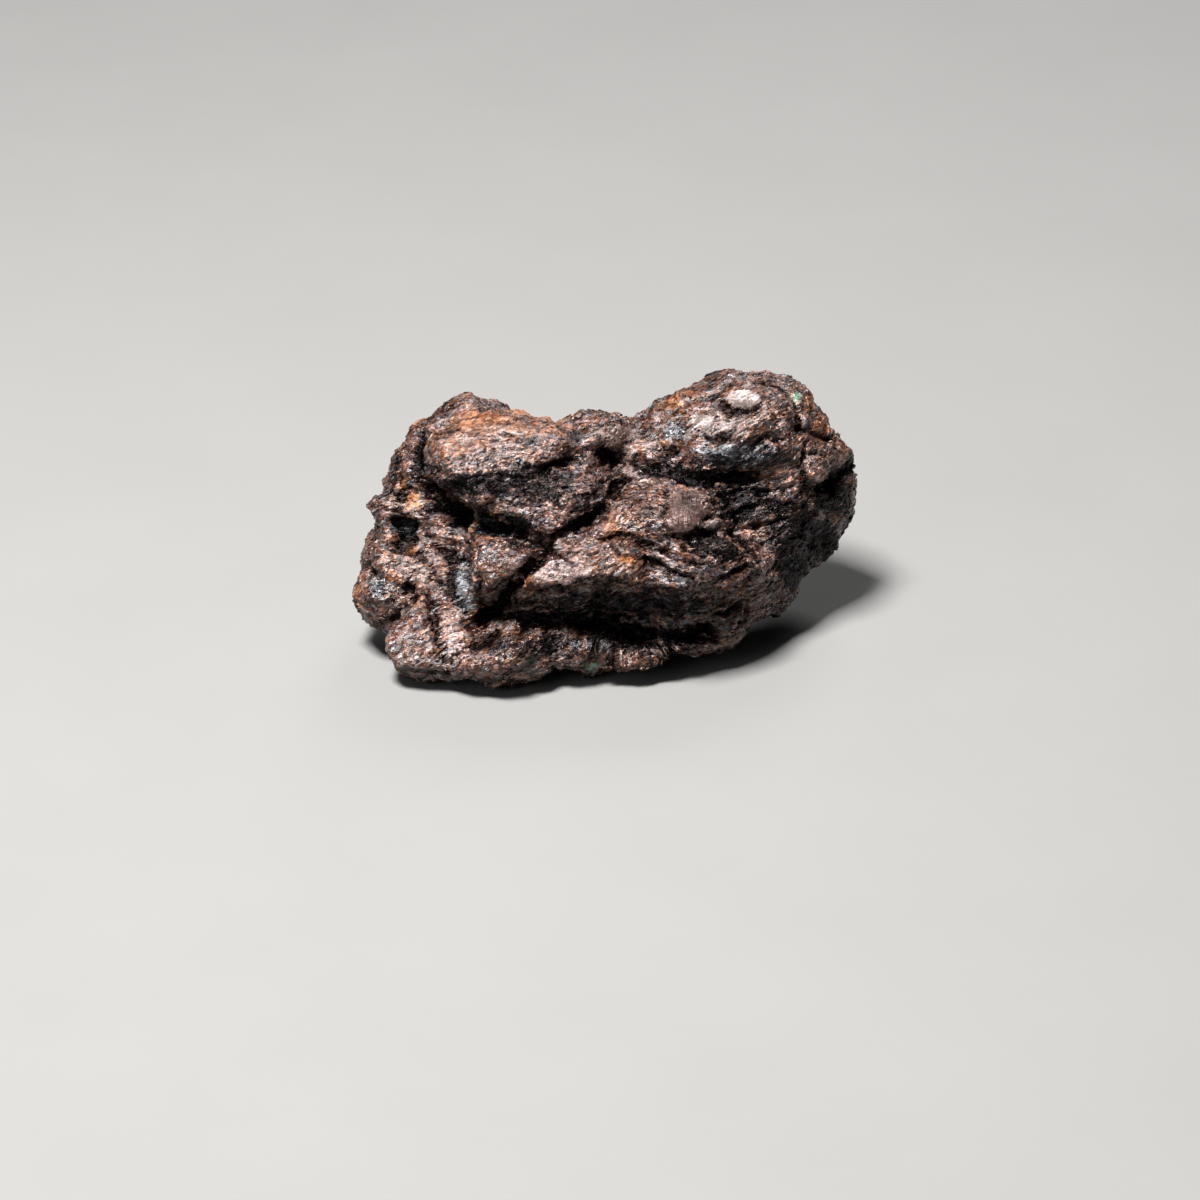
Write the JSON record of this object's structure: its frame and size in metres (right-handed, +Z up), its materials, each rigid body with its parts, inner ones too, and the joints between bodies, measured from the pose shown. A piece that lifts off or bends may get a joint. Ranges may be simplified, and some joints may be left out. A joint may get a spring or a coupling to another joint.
{
  "type": "pallasite meteorite",
  "caption": "Hackly weathered iron meteorite fragment with two rounded lobes, ledges and olivine grains set in it, resting on a small flat spot.",
  "frame": {"origin": "on the surface that the fragment rests on, under the middle of its length and depth", "axes": "+X along the fragment's length, from the low left end to the tall right lobe; +Z up; the broken face with the round grain looks towards -Y"},
  "size_m": [0.04, 0.023, 0.02],
  "materials": {
    "weathered_iron": "dark brown half-glossy weathered iron with rust, steel-grey patches and brown olivine grains"
  },
  "bodies": {
    "root": {"pallasite_meteorite": "weathered_iron"}
  },
  "joints": []
}
